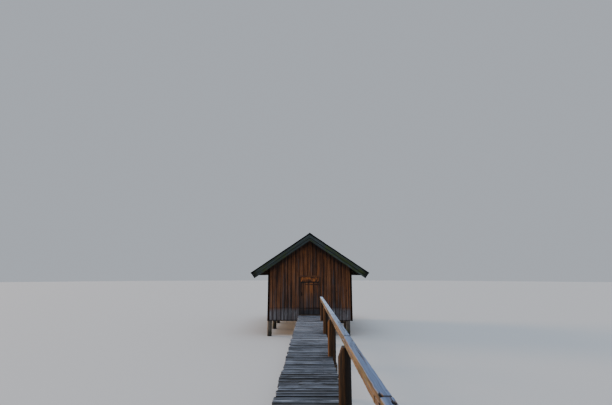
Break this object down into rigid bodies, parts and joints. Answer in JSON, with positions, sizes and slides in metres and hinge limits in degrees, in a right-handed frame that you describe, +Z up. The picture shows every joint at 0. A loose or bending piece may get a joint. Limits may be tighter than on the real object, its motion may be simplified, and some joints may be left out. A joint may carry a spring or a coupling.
{
  "type": "boathouse on piles",
  "caption": "Small board-clad boathouse with a gable roof on piles in a lake, reached by a narrow plank walkway with one handrail; boarded door towards the walkway.",
  "frame": {"origin": "middle of the whole outline at the water line, where the piles end", "axes": "+Z up, -Y out along the walkway from the door, +X towards the handrail side"},
  "size_m": [5.24, 22.53, 4.5272],
  "materials": {
    "pile_wood": "rough round piles, weathered brown-grey, darker near the water",
    "deck_wood": "sun-bleached grey planks with open grain",
    "rail_wood": "grey weathered top, warm brown sides",
    "beam_wood": "rough sawn, dark brown, grey on the upper faces",
    "floor_wood": "worn planks, grey brown",
    "wall_wood": "dark brown stained boards, grey and bleached near the foot",
    "frame_wood": "sawn timber, aged brown",
    "roof_wood": "sawn boards, aged brown",
    "roof_felt": "mineral bitumen felt, matt black with moss",
    "trim_wood": "weathered boards, green-grey with algae",
    "door_wood": "red-brown stained boards",
    "iron": "black iron with rust"
  },
  "bodies": {
    "boathouse": {"rail_posts": "pile_wood", "walkway_piles": "pile_wood", "hut_piles": "pile_wood", "deck_panels": "deck_wood", "handrail": "rail_wood", "walkway_bearers": "beam_wood", "walkway_stringers": "beam_wood", "deck_ledger": "beam_wood", "cross_beams": "beam_wood", "knee_braces": "beam_wood", "side_sills": "beam_wood", "end_sills": "beam_wood", "threshold": "beam_wood", "landing_floor": "floor_wood", "gangways": "floor_wood", "front_wall_left": "wall_wood", "front_wall_right": "wall_wood", "front_gable": "wall_wood", "side_wall_left": "wall_wood", "side_wall_right": "wall_wood", "back_wall_left": "wall_wood", "back_wall_right": "wall_wood", "back_gable": "wall_wood", "boat_gates": "wall_wood", "door_frame": "wall_wood", "wall_posts": "frame_wood", "wall_rails": "frame_wood", "wall_plates": "frame_wood", "tie_beams": "frame_wood", "king_posts": "frame_wood", "ridge_beam": "frame_wood", "rafters_left": "frame_wood", "rafters_right": "frame_wood", "roof_boards_left": "roof_wood", "roof_boards_right": "roof_wood", "roof_cover_left": "roof_felt", "roof_cover_right": "roof_felt", "ridge_cap": "roof_felt", "front_barge_boards": "trim_wood", "front_barge_trims": "trim_wood", "back_barge_boards": "trim_wood", "back_barge_trims": "trim_wood", "eave_fascia_left": "trim_wood", "eave_fascia_right": "trim_wood", "gate_straps": "iron", "hinge_pintles": "iron"},
    "door": {"door_leaf": "door_wood", "door_ledges": "door_wood", "hinge_straps": "iron", "door_lock": "iron"}
  },
  "joints": [
    {"name": "door_hinge", "type": "hinge", "parent": "boathouse", "child": "door", "pos_m": [0.42, 3.7154, 1.75], "axis": [0, 0, 1], "range_deg": [0, 170]}
  ]
}
